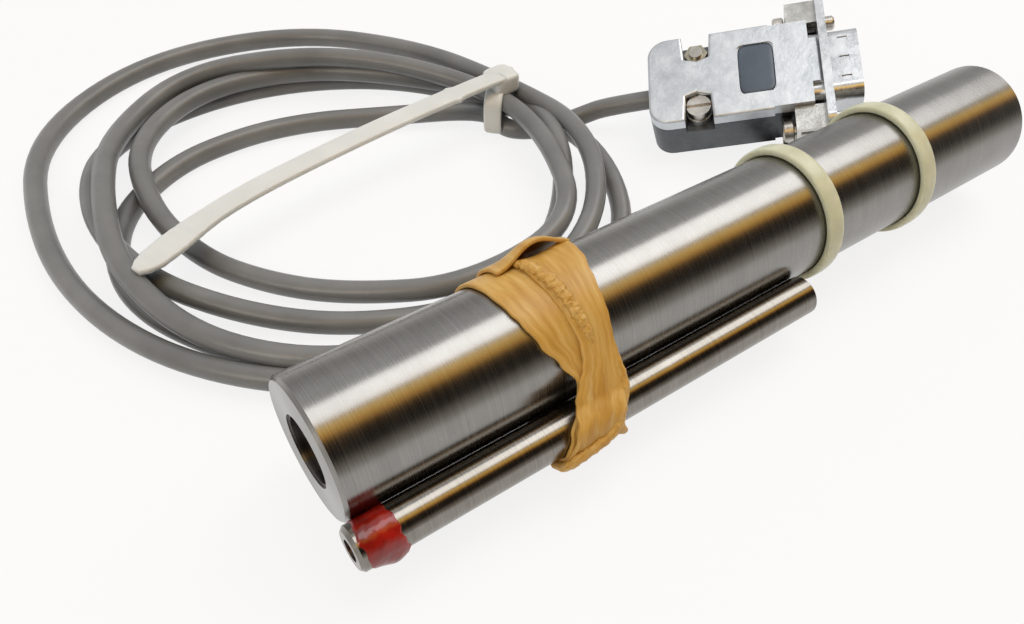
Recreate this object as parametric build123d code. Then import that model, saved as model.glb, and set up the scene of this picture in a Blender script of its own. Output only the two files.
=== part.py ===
from build123d import *
import os
from math import atan, cos, pi, radians, sin, tan

# Linear displacement sensor with its loose core, coiled cable and nine-way plug.
# All sizes are in millimetres. The part lies on a level surface at z = 0, with
# the housing along X: the open bore faces -X, the cable side faces +Y.
# Shapes are drawn with x = 0 at the front face and y = 0 on the housing's axis.

# Housing: a turned stainless tube with one closed front wall and a rear cap
housing_dia = 20.62
housing_length = 139.7
housing_wall = 1.2
front_wall = 4.0
rear_cap_length = 5.0
edge_chamfer = 0.5
bore_dia = 9.525
liner_wall = 0.4
liner_recess = 0.3
fit_gap = 0.02

# Coils inside: a bobbin with four flanges carries one primary between two secondaries
bobbin_start = 6.0
bobbin_wall = 0.9
bobbin_flange_dia = 16.6
bobbin_flange = 1.5
rear_space = 28.7
winding_depth = 2.0
shield_wall = 0.3
board_gap = 5.0
board_thickness = 1.6
lead_wire_dia = 0.8

# Loose core rod, held against the housing's front side by a rubber band
core_dia = 6.35
core_length = 80.3
core_overhang = 1.3
core_side_angle = 20.7
core_side_gap = 0.05
core_tap_dia = 3.1
core_tap_depth = 12.0

# Two flat rubber rings stretched over the housing, with a foot below that it rests on
ring_width = 2.7
ring_thickness = 1.1
ring_foot_height = 3.4
ring_foot_width = 9.0
ring_places = (84.8, 108.7)

# Rubber band: a flat loop round the housing and the core, gathered underneath
band_thickness = 1.2
band_clearance = 0.05
band_start = 28.0
band_width = 15.5
band_narrow_start = 29.0
band_narrow_width = 7.8
band_gather_width = 9.0
band_gather_depth = 11.0

# Cable and its exit through a rubber grommet, low on the far side of the housing
cable_dia = 3.8
exit_setback = 8.7
exit_angle = 35.0
grommet_dia = 5.6
grommet_lip_dia = 7.0
grommet_nose_dia = 5.0
grommet_reach = 5.2

# Coil of cable: how far each of the five turns lies from the coil's middle, at
# twelve places 30 degrees apart, from the tie and anticlockwise seen from above
coil_middle = (31.0, 60.0)
coil_first_angle = 10.0
coil_turns = (
    (39.4, 26.0, 24.0, 25.1, 29.6, 35.0, 38.5, 39.4, 43.4, 42.9, 54.1, 49.1),
    (43.2, 41.2, 39.6, 41.1, 44.1, 38.5, 35.1, 31.9, 33.9, 40.0, 43.0, 44.3),
    (47.0, 35.7, 39.0, 40.1, 36.2, 29.0, 25.2, 23.9, 27.1, 37.3, 46.0, 41.0),
    (41.3, 36.3, 38.1, 45.1, 41.1, 35.3, 37.7, 41.3, 44.8, 45.1, 49.7, 49.4),
    (45.1, 50.0, 59.4, 61.9, 57.5, 47.0, 43.8, 44.5, 47.9, 47.8, 47.8, 47.8),
)
coil_height = 7.6
coil_edge_round = 1.8

# Cable tie round the five turns, with its long tail lying back over the coil
tie_width = 4.6
tie_thickness = 1.2
tie_clearance = 0.15
tie_head = (7.0, 6.4, 5.0)
tail_thickness = 1.3
tail_lean = 35.0
tail_points = (
    (71.0, 66.5, 11.6), (53.0, 65.2, 11.0), (32.0, 61.4, 10.3), (6.0, 54.4, 9.9), (-8.0, 47.6, 9.6),
)

# Nine-way plug: its place and its lean, nose up against the back of the housing
plug_place = (122.9, 23.5, 16.8)
plug_yaw = -42.3
plug_pitch = -15.4
plug_roll = 21.3
flange_width = 30.81
flange_height = 12.55
flange_thickness = 0.8
flange_corner = 2.0
screw_spacing = 24.99
shell_width = 16.92
shell_height = 8.36
shell_side_slope = 10.0
shell_corner = 2.4
shell_wall = 0.45
shell_reach = 5.8
shell_rear_reach = 4.2
dimple_pitch = 4.6
dimple_size = (1.9, 1.3)
dimple_depth = 0.2
pin_dia = 1.0
pin_pitch = 2.77
pin_row_gap = 2.84
pin_reach = 5.1
cup_dia = 1.7
cup_length = 4.0
insulator_gap = 0.05

# Hood of the plug: a die-cast tray and lid, clamped by two screws in side notches
hood_length = 35.0
hood_width = 20.4
hood_height = 10.3
hood_wall = 1.2
hood_lid = 2.4
hood_corner = 4.0
hood_gap = 0.1
lid_cut = (1.8, 5.1)
notch_middle = 25.3
notch_width = 5.6
notch_depth = 6.4
notch_point = 0.8
notch_floor = 1.2
label_recess = (7.0, 11.8, 0.3)
label_start = 10.2
clamp_screw_dia = 2.6
clamp_head_dia = 4.8
clamp_head_height = 1.8
ear_thickness = 1.2
ear_width = 3.2
ferrule_wall = 1.1
ferrule_length = 6.0

# Jackscrews: slotted heads behind small steel saddles, free to turn in them
jack_dia = 2.84
jack_running_gap = 0.08
jack_head_dia = 5.0
jack_head_length = 2.2
jack_reach = 2.4
jack_slot = (0.8, 0.9)
saddle_length = 5.7
saddle_width = 5.4
saddle_height = 8.4
saddle_wall = 0.8
saddle_play = 0.15

# Worked out from the sizes above
housing_r = housing_dia / 2
axis_height = housing_r + ring_foot_height
inner_r = housing_r - housing_wall
liner_r = bore_dia / 2 + liner_wall
cable_r = cable_dia / 2
core_r = core_dia / 2
exit_place = housing_length - exit_setback
core_reach = housing_r + core_r + core_side_gap
core_y = -core_reach * cos(radians(core_side_angle))
core_z = axis_height - core_reach * sin(radians(core_side_angle))
winding_start = bobbin_start + bobbin_flange
winding_length = (housing_length - bobbin_start - rear_space - 4 * bobbin_flange) / 3
bobbin_length = 3 * winding_length + 4 * bobbin_flange
board_place = bobbin_start + bobbin_length + board_gap

# The part's own frame: below the middle of the rigid pieces' outer box
box_x = (-core_overhang, housing_length)
box_y = (core_y - core_r - band_clearance - band_thickness, housing_r + ring_thickness)
own_frame = Pos(-sum(box_x) / 2, -sum(box_y) / 2, 0)


os.makedirs("parts", exist_ok=True)


def write(name, *solids, place=Pos(0, 0, 0)):
    """Write one node: its solids, moved to their place and then to the part's own frame."""
    moved = [own_frame * place * solid for group in solids for solid in group.solids()]
    export_step(moved[0] if len(moved) == 1 else Compound(moved), f"parts/{name}.step")


def rod(start, end, dia, y=0.0, z=axis_height):
    """A round bar along X between two places."""
    return Pos((start + end) / 2, y, z) * Rot(0, 90, 0) * Cylinder(dia / 2, end - start)


def sleeve(start, end, outer, inner, y=0.0, z=axis_height):
    """A round tube along X."""
    return rod(start, end, outer, y, z) - rod(start - 1, end + 1, inner, y, z)


def block(x, y, z):
    """A box given by its lowest and highest value along each axis."""
    return Pos(sum(x) / 2, sum(y) / 2, sum(z) / 2) * Box(x[1] - x[0], y[1] - y[0], z[1] - z[0])


def corner_radii(points):
    """Radius of each arc of a cord's path: 0.45 of the shorter run over tan of half the turn."""
    radii = []
    for before, here, after in zip(points, points[1:], points[2:]):
        run_in = Vector(*here) - Vector(*before)
        run_out = Vector(*after) - Vector(*here)
        half_turn = radians(run_in.get_angle(run_out)) / 2
        radii.append(0.45 * min(run_in.length, run_out.length) / tan(half_turn))
    return radii


def cord_tube(name, points):
    """A cord's tube along straight runs joined by tangent arcs."""
    radii = corner_radii(points)
    path = FilletPolyline(*points, radius=radii)
    section = Plane(origin=points[0], z_dir=Vector(*points[1]) - Vector(*points[0])) * Circle(cable_r)
    tube = sweep(section, path=path)
    print(name, "length", round(path.length, 1), "radii", [round(radius, 1) for radius in radii],
          "volume", round(tube.volume, 1), "against", round(pi * cable_r**2 * path.length, 1))
    return tube


# Housing tube, rear cap, bore liner
grommet_plane = Plane(
    origin=(exit_place, 0, axis_height),
    z_dir=(0, cos(radians(exit_angle)), -sin(radians(exit_angle))),
)
outer_body = chamfer(rod(0, housing_length, housing_dia).edges(), edge_chamfer)
housing_tube = outer_body - rod(front_wall, housing_length + 1, 2 * inner_r)
housing_tube -= rod(-1, front_wall + 1, 2 * (liner_r + fit_gap))
exit_hole = grommet_plane * Pos(0, 0, housing_r) * Cylinder(grommet_dia / 2 + fit_gap, housing_r)
housing_tube -= exit_hole
rear_cap = sleeve(housing_length - rear_cap_length, housing_length - liner_recess,
                  2 * (inner_r - fit_gap), 2 * (liner_r + fit_gap))
bore_liner = sleeve(liner_recess, housing_length - liner_recess, 2 * liner_r, bore_dia)
write("housing_tube", housing_tube)
write("rear_end_cap", rear_cap)
write("bore_liner", bore_liner)

# Bobbin, windings, shield, terminal board and the wires between them
bobbin_r = liner_r + fit_gap + bobbin_wall
bobbin = sleeve(bobbin_start, bobbin_start + bobbin_length, 2 * bobbin_r, 2 * (liner_r + fit_gap))
for index in range(4):
    flange_start = bobbin_start + index * (winding_length + bobbin_flange)
    bobbin += sleeve(flange_start, flange_start + bobbin_flange, bobbin_flange_dia, 2 * bobbin_r)
write("coil_bobbin", bobbin)
for index, name in enumerate(("secondary_winding_front", "primary_winding", "secondary_winding_rear")):
    start = winding_start + index * (winding_length + bobbin_flange)
    outer = 2 * (bobbin_r + fit_gap + min(winding_depth, bobbin_flange_dia / 2 - bobbin_r - 2 * fit_gap))
    write(name, sleeve(start + fit_gap, start + winding_length - fit_gap, outer, 2 * (bobbin_r + fit_gap)))
shield_inner = bobbin_flange_dia / 2 + fit_gap
write("magnetic_shield", sleeve(bobbin_start, bobbin_start + bobbin_length,
                                2 * (shield_inner + shield_wall), 2 * shield_inner))
write("terminal_board", sleeve(board_place, board_place + board_thickness,
                               2 * (inner_r - fit_gap), 2 * (liner_r + fit_gap)))
wire_ring = bobbin_flange_dia / 2 - lead_wire_dia
lead_wires = [
    rod(bobbin_start + bobbin_length, board_place, lead_wire_dia,
        wire_ring * cos(radians(angle)), axis_height + wire_ring * sin(radians(angle)))
    for angle in (30, 75, 120, 165, 210, 255)
]
write("winding_leads", *lead_wires)

# Core rod, with the tapped hole in its painted end
core_start = -core_overhang
core_rod = rod(core_start, core_start + core_length, core_dia, core_y, core_z)
core_rod = chamfer(core_rod.edges(), edge_chamfer)
core_rod -= rod(core_start - 1, core_start + core_tap_depth, core_tap_dia, core_y, core_z)
write("core_rod", core_rod)

# Rubber rings
for place, name in zip(ring_places, ("rubber_ring_front", "rubber_ring_rear")):
    sides = (place - ring_width / 2, place + ring_width / 2)
    ring = chamfer(rod(*sides, housing_dia + 2 * ring_thickness).edges(), 0.3)
    ring += block(sides, (-ring_foot_width / 2, ring_foot_width / 2), (0, axis_height))
    ring -= rod(place - ring_width, place + ring_width, housing_dia + 2 * fit_gap)
    write(name, ring)

# Rubber band: the belt round two circles, narrowed towards the core, gathered below


def belt(gap, start, end):
    """The outline drawn tight round housing and core at a given distance, along X."""
    housing_circle = Pos(0, axis_height) * Circle(housing_r + gap)
    core_circle = Pos(core_y, core_z) * Circle(core_r + gap)
    big, small = housing_r + gap, core_r + gap
    lean = atan((big - small) / core_reach)
    slope = radians(180 + core_side_angle)
    flank = []
    for side in (1, -1):
        turn = slope - side * (pi / 2 - lean)
        flank.append((big * cos(turn), axis_height + big * sin(turn)))
        flank.append((core_y + small * cos(turn), core_z + small * sin(turn)))
    waist = make_face(Polyline(flank[0], flank[1], flank[3], flank[2], close=True))
    outline = Plane.YZ * (housing_circle + core_circle + waist)
    return extrude(Pos(start, 0, 0) * outline, end - start)


band_end = band_start + band_width
band_narrow_end = band_narrow_start + band_narrow_width
band = belt(band_clearance + band_thickness, band_start, band_end)
front_y = core_y - core_r - band_thickness - 1
back_y = housing_r + band_thickness + 1
waisted_face = make_face(Polyline(
    (band_start, back_y), (band_end, back_y), (band_end, 0),
    (band_narrow_end, front_y), (band_narrow_start, front_y), (band_start, 0), close=True,
))
band = band & extrude(waisted_face, axis_height * 2 + band_thickness)
gather_middle = (band_narrow_start + band_narrow_end) / 2
gather = block(
    (gather_middle - band_gather_width / 2, gather_middle + band_gather_width / 2),
    (-band_gather_depth / 2, band_gather_depth / 2),
    (0, axis_height - housing_r + band_thickness),
)
gather = fillet(gather.edges().filter_by(Axis.X), 1.0)
band += gather
band -= belt(band_clearance, band_start - 1, band_end + 1)
write("rubber_band", band)

# Grommet: a plug through the wall and a tapered sleeve outside it
grommet_start = inner_r - 0.8
grommet_nose = housing_r + grommet_reach
sleeve_cone = Pos(0, 0, (housing_r - 1 + grommet_nose) / 2) * Cone(
    grommet_lip_dia / 2, grommet_nose_dia / 2, grommet_nose - housing_r + 1)
stem_length = housing_r - grommet_start
stem = Pos(0, 0, grommet_start + stem_length / 2) * Cylinder(grommet_dia / 2, stem_length)
cable_way = Pos(0, 0, housing_r) * Cylinder(cable_r + fit_gap, 2 * housing_r)
grommet = grommet_plane * (sleeve_cone + stem - cable_way)
write("cable_grommet", grommet - (outer_body - exit_hole))

# Cable coil: one closed solid of the coil's outer shape, grooved where the tie passes


def clock_point(turn_radius, step, lift=0.0):
    """A point of the coil, a given distance from its middle, at one of the twelve places."""
    angle = radians(coil_first_angle + 30 * step)
    return (coil_middle[0] + turn_radius * cos(angle), coil_middle[1] + turn_radius * sin(angle), lift)


reach_out = [max(turn[step] for turn in coil_turns) + cable_r for step in range(12)]
reach_in = [min(turn[step] for turn in coil_turns) - cable_r for step in range(12)]
outer_line = Spline(*[clock_point(reach_out[step], step) for step in range(12)], periodic=True)
inner_line = Spline(*[clock_point(reach_in[step], step) for step in range(12)], periodic=True)
coil_solid = extrude(make_face(outer_line), coil_height) - extrude(make_face(inner_line), coil_height)
coil_solid = fillet(coil_solid.edges().group_by(Axis.Z)[-1], coil_edge_round)

# The tie's loop is drawn in its own frame: x outwards, y along the turns, z up
tie_turns = [turn[0] for turn in coil_turns]
tie_middle = clock_point((max(tie_turns) + min(tie_turns)) / 2, 0)
tie_frame = Pos(*tie_middle) * Rot(0, 0, coil_first_angle)
bundle_half = (max(tie_turns) - min(tie_turns)) / 2 + cable_r + tie_clearance
loop_top = tie_thickness + coil_height + tie_clearance


def loop_block(half, low, high, round_by):
    """A rounded block across the turns at the tie, with its long edges rounded."""
    shape = block((-half, half), (-tie_width / 2, tie_width / 2), (low, high))
    return fillet(shape.edges().filter_by(Axis.Y), round_by)


loop_outside = loop_block(bundle_half + tie_thickness, 0, loop_top + tie_thickness, 2.4)
loop_inside = loop_block(bundle_half, tie_thickness, loop_top, 1.2)
groove_half = tie_width / 2 + tie_clearance
groove = block((-2 * bundle_half, 2 * bundle_half), (-groove_half, groove_half), (-1, 2 * coil_height))
groove -= loop_block(bundle_half - tie_clearance, tie_thickness + tie_clearance / 3,
                     loop_top - tie_clearance, 1.2)
coil_solid -= tie_frame * groove
coil_solid = coil_solid.solids().sort_by(SortBy.VOLUME)[-1]
write("cable_coil", coil_solid)

tie_loop = loop_outside - loop_inside
head_low = loop_top + tie_thickness - 0.6
head_block = block((-tie_head[0] / 2, tie_head[0] / 2), (-tie_head[1] / 2, tie_head[1] / 2),
                   (head_low, head_low + tie_head[2]))
head_block = fillet(head_block.edges().filter_by(Axis.Z), 1.2)
tie_path = FilletPolyline(*tail_points, radius=corner_radii(tail_points))
tail_heading = Vector(*tail_points[1]) - Vector(*tail_points[0])
tail_plane = Plane(origin=tail_points[0], x_dir=tail_heading.cross(Vector(0, 0, 1)), z_dir=tail_heading)
tail_section = tail_plane * Rot(0, 0, -tail_lean) * RectangleRounded(tie_width, tail_thickness, 0.4)
tie_tail = sweep(tail_section, path=tie_path)
write("cable_tie", tie_frame * (tie_loop + head_block) + tie_tail)

# Cable runs outside the coil: from the grommet, and from the tie to the plug
exit_run = [
    (exit_place, 5.8, 9.65), (exit_place, 16.0, 2.5), (128.8, 24.2, 1.95), (122.6, 29.7, 1.95),
    (114.4, 31.0, 1.95), (106.0, 27.6, 1.95), (97.0, 21.8, 1.95), (84.0, 17.4, 1.95),
    (68.0, 13.8, 1.95), (50.0, 11.9, 1.95), (34.0, 12.4, 1.95),
]
plug_frame = Pos(*plug_place) * Rot(0, 0, plug_yaw) * Rot(0, plug_pitch, 0) * Rot(plug_roll, 0, 0)
hood_back = -hood_length


def plug_point(x, y=0.0, z=0.0):
    """A point of the plug, given in the plug's own frame."""
    place = (plug_frame * Pos(x, y, z)).position
    return (place.X, place.Y, place.Z)


lead_run = [
    (75.2, 60.4, 2.0), (80.6, 57.0, 2.0), (86.0, 54.9, 3.4),
    plug_point(hood_back - 9.0), plug_point(hood_back + 6.0),
]
write("cable_exit_run", cord_tube("exit run", exit_run) - coil_solid)
write("cable_plug_lead", cord_tube("plug lead", lead_run) - coil_solid)

# Plug, in its own frame: x towards the nose, z up, x = 0 on the flange's front face


def d_face(width, height, corner, x):
    """The plug's D outline, wide side up, on the plane at a given x."""
    half = width / 2
    narrow = half - height * tan(radians(shell_side_slope))
    outline = make_face(Polyline(
        (half, height / 2), (-half, height / 2), (-narrow, -height / 2), (narrow, -height / 2), close=True,
    ))
    outline = fillet(outline.vertices(), corner)
    return Plane(origin=(x, 0, 0), x_dir=(0, 1, 0), z_dir=(1, 0, 0)) * outline


def d_block(start, end, inset):
    """A solid of the D outline, drawn in from the shell's outside by an inset."""
    face = d_face(shell_width - 2 * inset, shell_height - 2 * inset, shell_corner - inset, start)
    return extrude(face, end - start)


def flange_plate(start):
    """One flange of the plug, with its two screw holes."""
    plate = block((start, start + flange_thickness), (-flange_width / 2, flange_width / 2),
                  (-flange_height / 2, flange_height / 2))
    plate = fillet(plate.edges().filter_by(Axis.X), flange_corner)
    for side in (-1, 1):
        plate -= rod(start - 1, start + 2, jack_dia + 2 * jack_running_gap, side * screw_spacing / 2, 0)
    return plate


front_flange = -flange_thickness
rear_flange = -2 * flange_thickness
insulator_inset = shell_wall + insulator_gap
front_shell = flange_plate(front_flange) + d_block(front_flange, shell_reach, 0)
front_shell -= d_block(front_flange - 1, shell_reach + 1, shell_wall)
dimple_x = shell_reach / 2
for side, count in ((1, 3), (-1, 2)):
    for index in range(count):
        y = (index - (count - 1) / 2) * dimple_pitch
        z = side * (shell_height / 2)
        front_shell -= Pos(dimple_x, y, z) * Box(*dimple_size, 2 * dimple_depth)
rear_shell_end = rear_flange - shell_rear_reach
rear_shell = flange_plate(rear_flange) + d_block(rear_shell_end, 0 + rear_flange, 0)
rear_shell -= d_block(rear_shell_end - 1, rear_flange + 1, shell_wall)
insulator = d_block(rear_shell_end, -flange_thickness / 2, insulator_inset)
pins = []
for count, z in ((5, pin_row_gap / 2), (4, -pin_row_gap / 2)):
    for index in range(count):
        y = (index - (count - 1) / 2) * pin_pitch
        pin = rod(rear_shell_end, pin_reach, pin_dia, y, z)
        pin = chamfer(pin.edges().group_by(Axis.X)[-1], 0.25)
        cup = sleeve(rear_shell_end - cup_length, rear_shell_end, cup_dia, pin_dia, y, z)
        pins.append(pin + cup + rod(rear_shell_end - 0.6, rear_shell_end, cup_dia, y, z))
        insulator -= rod(rear_shell_end - 1, 1, pin_dia + 2 * fit_gap, y, z)
write("plug_front_shell", front_shell, place=plug_frame)
write("plug_rear_shell", rear_shell, place=plug_frame)
write("plug_insulator", insulator, place=plug_frame)
write("plug_pins", *pins, place=plug_frame)

# Hood tray and lid share one outline, with a notch in each side for a clamp screw;
# below the notch floor the tray's side is plain
hood_front = rear_flange - hood_gap
half_width = hood_width / 2
notch_bottom = half_width - notch_depth
shoulder = notch_width / 2 - 0.4
outline_points = [(hood_front, half_width), (-notch_middle + notch_width / 2, half_width),
                  (-notch_middle + shoulder, notch_bottom + notch_point), (-notch_middle, notch_bottom),
                  (-notch_middle - shoulder, notch_bottom + notch_point),
                  (-notch_middle - notch_width / 2, half_width), (hood_back, half_width)]
mirrored = [(x, -y) for x, y in reversed(outline_points)]
notched_outline = make_face(Polyline(*outline_points, *mirrored, close=True))
notched_outline = fillet(notched_outline.vertices().group_by(Axis.X)[0], hood_corner)
plain_outline = make_face(Polyline((hood_front, half_width), (hood_back, half_width),
                                   (hood_back, -half_width), (hood_front, -half_width), close=True))
plain_outline = fillet(plain_outline.vertices().group_by(Axis.X)[0], hood_corner)
hood_inside = offset(notched_outline, -hood_wall)
half_height = hood_height / 2
lid_low = half_height - hood_lid
tray = Pos(0, 0, -half_height) * extrude(plain_outline, half_height + notch_floor)
tray += Pos(0, 0, notch_floor) * extrude(notched_outline, lid_low - notch_floor - hood_gap)
tray -= Pos(0, 0, -half_height + hood_wall) * extrude(hood_inside, hood_height)
lid = Pos(0, 0, lid_low) * extrude(notched_outline, hood_lid)
lid = fillet(lid.edges().group_by(Axis.Z)[-1], 0.5)
lid -= Pos(0, 0, lid_low - 1) * extrude(hood_inside, 1 + hood_lid - hood_wall)
label_pocket = block((-label_start - label_recess[0], -label_start),
                     (-label_recess[1] / 2, label_recess[1] / 2),
                     (half_height - label_recess[2], half_height + 1))
lid -= fillet(label_pocket.edges().filter_by(Axis.Z), 1.0)
plug_opening = block((rear_shell_end - hood_gap, hood_front + 1),
                     (-shell_width / 2 - hood_gap, shell_width / 2 + hood_gap),
                     (-shell_height / 2 - hood_gap, shell_height / 2 + hood_gap))
cable_opening = rod(hood_back - 1, hood_back + hood_wall + 2, cable_dia + 2 * fit_gap, 0, 0)
head_front = hood_front - saddle_length - saddle_play
head_back = head_front - jack_head_length
for side in (-1, 1):
    screw_y = side * screw_spacing / 2
    pocket = block((head_back - 1.2, hood_front + 1),
                   sorted((screw_y - side * (saddle_width / 2 + hood_gap), screw_y + side * 9)),
                   (-hood_height, hood_height))
    wall_y = screw_y - side * (saddle_width / 2 + hood_gap + hood_wall)
    pocket_wall = block((head_back - 1.2 - hood_wall, hood_front), sorted((wall_y, side * half_width)),
                        (-half_height + hood_wall / 2, lid_low - hood_gap))
    tray += pocket_wall
    tray -= pocket
    lid -= pocket
    lid -= block((hood_front - lid_cut[0], hood_front + 1), sorted((side * lid_cut[1], side * hood_width)),
                 (0, hood_height))
tray -= plug_opening
tray -= cable_opening
lid -= plug_opening

# Clamp screws: one from above, one from below, each through an ear of the lid
boss_r = clamp_head_dia / 2 + hood_gap
boss_y = notch_bottom + boss_r + hood_gap
ear_top = notch_floor + ear_thickness
sunk_seat = -half_height + clamp_head_height + 0.2
screw_hole_r = clamp_screw_dia / 2 + fit_gap
ear_x = (-notch_middle - ear_width / 2, -notch_middle + ear_width / 2)
for side in (-1, 1):
    screw_line = Pos(-notch_middle, side * boss_y, 0)
    wall_inside = side * (notch_bottom - hood_wall)
    tray -= screw_line * Cylinder(screw_hole_r, 2 * hood_height)
    tray -= block((ear_x[0] - hood_gap, ear_x[1] + hood_gap),
                  sorted((wall_inside - side * hood_gap, side * boss_y)), (notch_floor, half_height))
    tray -= screw_line * Pos(0, 0, notch_floor + hood_height / 2) * Cylinder(boss_r + hood_gap, hood_height)
    ear = screw_line * Pos(0, 0, notch_floor + ear_thickness / 2) * Cylinder(boss_r, ear_thickness)
    ear += block(ear_x, sorted((wall_inside, side * boss_y)), (notch_floor, ear_top))
    ear -= screw_line * Pos(0, 0, notch_floor) * Cylinder(screw_hole_r, 4)
    lid += block(ear_x, sorted((wall_inside, side * (notch_bottom + 0.1))), (notch_floor, lid_low + 0.2))
    lid += ear
tray -= Pos(-notch_middle, boss_y, sunk_seat - hood_height / 2) * Cylinder(boss_r, hood_height)
write("hood_tray", tray, place=plug_frame)
write("hood_lid", lid, place=plug_frame)

screw_low = -half_height + 0.4


def clamp_screw(side, facing):
    """A slotted clamp screw, its head facing up (1) or down (-1)."""
    seat, end = (ear_top, screw_low) if facing > 0 else (sunk_seat, ear_top + 2.2)
    shank = Pos(0, 0, (seat + end) / 2) * Cylinder(clamp_screw_dia / 2, abs(seat - end))
    head = Pos(0, 0, seat + facing * clamp_head_height / 2) * Cylinder(clamp_head_dia / 2, clamp_head_height)
    head -= Pos(0, 0, seat + facing * clamp_head_height) * Box(2 * clamp_head_dia, 0.7, 1.2)
    return Pos(-notch_middle, side * boss_y, 0) * (head + shank)


nut = extrude(RegularPolygon(clamp_head_dia / 2, 6), 1.6) - Cylinder(clamp_screw_dia / 2 + fit_gap, 9)
write("hood_screw_near", clamp_screw(-1, 1), place=plug_frame)
write("hood_screw_far", clamp_screw(1, -1), place=plug_frame)
write("hood_screw_nut", Pos(-notch_middle, boss_y, ear_top) * nut, place=plug_frame)

# Ferrule round the cable inside the hood
ferrule_start = hood_back + hood_wall + fit_gap
write("cable_ferrule", sleeve(ferrule_start, ferrule_start + ferrule_length,
                              cable_dia + 2 * ferrule_wall, cable_dia + 2 * fit_gap, 0, 0), place=plug_frame)

# Saddles and jackscrews, one pair on each side
for side, name in ((-1, "near"), (1, "far")):
    screw_y = side * screw_spacing / 2
    saddle = block((hood_front + hood_gap - saddle_length, hood_front + hood_gap),
                   (screw_y - saddle_width / 2, screw_y + saddle_width / 2),
                   (-saddle_height / 2, saddle_height / 2))
    saddle_back = hood_front + hood_gap - saddle_length
    saddle -= block((saddle_back + saddle_wall, saddle_back + saddle_length - saddle_wall),
                    (screw_y - saddle_width, screw_y + saddle_width),
                    (-saddle_height / 2 + saddle_wall, saddle_height / 2 - saddle_wall))
    saddle -= rod(hood_front - saddle_length - 1, 1, jack_dia + 2 * jack_running_gap, screw_y, 0)
    write(f"jackscrew_saddle_{name}", saddle, place=plug_frame)
    head = rod(head_back, head_front, jack_head_dia, screw_y, 0)
    head = chamfer(head.edges(), 0.3)
    head -= Pos(head_back, screw_y, 0) * Box(2 * jack_slot[0], 2 * jack_head_dia, jack_slot[1])
    shank = rod(head_front, jack_reach, jack_dia, screw_y, 0)
    shank = chamfer(shank.edges().group_by(Axis.X)[-1], 0.4)
    write(f"jackscrew_{name}", head + shank, place=plug_frame)
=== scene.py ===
from math import cos, pi, radians, sin

import bpy
import numpy as np
from mathutils import Matrix, Vector


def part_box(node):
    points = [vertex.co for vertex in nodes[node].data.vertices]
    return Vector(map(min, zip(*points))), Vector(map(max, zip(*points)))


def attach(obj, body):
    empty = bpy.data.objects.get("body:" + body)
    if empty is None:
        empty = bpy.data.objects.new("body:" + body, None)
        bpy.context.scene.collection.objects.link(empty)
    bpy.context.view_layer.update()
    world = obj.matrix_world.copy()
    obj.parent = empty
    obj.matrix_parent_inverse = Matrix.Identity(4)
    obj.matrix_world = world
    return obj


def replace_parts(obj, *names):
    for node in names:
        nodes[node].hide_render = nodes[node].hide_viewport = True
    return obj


# Linear displacement sensor: a ground steel housing with its loose core rod banded
# alongside, two rubber rings, a tied coil of cable and a nine-way plug in a metal hood.
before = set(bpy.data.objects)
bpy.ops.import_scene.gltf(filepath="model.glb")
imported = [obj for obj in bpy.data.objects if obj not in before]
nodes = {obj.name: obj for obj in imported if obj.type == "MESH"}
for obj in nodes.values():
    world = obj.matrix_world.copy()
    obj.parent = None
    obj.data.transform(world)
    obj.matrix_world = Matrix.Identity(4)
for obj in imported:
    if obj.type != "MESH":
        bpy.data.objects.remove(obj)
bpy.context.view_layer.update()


# Camera
# The photograph's viewpoint: close above the open end of the housing, looking down
# along it. The lens is wide for such a small object, so the near end looks large.

camera_lens = bpy.data.cameras.new("camera")
camera_lens.sensor_width = 36.0
camera_lens.lens = 30.486
camera_lens.shift_x = -0.0554
camera_lens.shift_y = 0.0472
camera_lens.clip_start = 0.005
camera = bpy.data.objects.new("camera", camera_lens)
camera.matrix_world = Matrix((
    (0.79506, 0.41729, -0.44016, -0.08586),
    (-0.60377, 0.61362, -0.50885, -0.06449),
    (0.05776, 0.67033, 0.73981, 0.10260),
    (0.0, 0.0, 0.0, 1.0),
))
bpy.context.scene.collection.objects.link(camera)
bpy.context.scene.camera = camera


# Housing
# The sensor's body: a stainless tube, turned, then ground round and round, so its
# skin is fine hoops. The rear cap closes it and the thin liner is the open bore.


def linear(colour):
    """An sRGB hex colour in linear light: each channel is divided by 12.92 when small,
    and otherwise ((channel + 0.055) / 1.055) to the power 2.4."""
    channels = [int(colour[place:place + 2], 16) / 255 for place in (1, 3, 5)]
    curved = [c / 12.92 if c <= 0.04045 else ((c + 0.055) / 1.055) ** 2.4 for c in channels]
    return (*curved, 1.0)


def new_material(name, **sockets):
    """A material with its Principled shader's own sockets set, spaces written as _."""
    material = bpy.data.materials.new(name)
    material.use_nodes = True
    shader = material.node_tree.nodes["Principled BSDF"]
    for socket, value in sockets.items():
        value = linear(value) if isinstance(value, str) else value
        shader.inputs[socket.replace("_", " ")].default_value = value
    return material, shader


def add(material, kind, settings=None, links=None):
    """Adds one node. Settings name its sockets or properties, and stops are a ramp's
    (place, colour) pairs. Links give each socket the output that feeds it."""
    node = material.node_tree.nodes.new("ShaderNode" + kind)
    for name, value in (settings or {}).items():
        if name == "stops":
            ramp = node.color_ramp.elements
            for place, colour in value[2:]:
                ramp.new(place)
            for stop, (place, colour) in zip(ramp, sorted(value)):
                stop.position = place
                stop.color = linear(colour)
        elif isinstance(name, int) or name in node.inputs:
            node.inputs[name].default_value = linear(value) if isinstance(value, str) else value
        else:
            setattr(node, name, value)
    for socket, output in (links or {}).items():
        material.node_tree.links.new(output, node.inputs[socket])
    return node


def join(material, output, socket):
    """Feeds a shader's socket."""
    material.node_tree.links.new(output, socket)


def dress(material, *names):
    """Gives CAD nodes their finish."""
    for name in names:
        for place in nodes[name].material_slots:
            place.material = material


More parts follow.
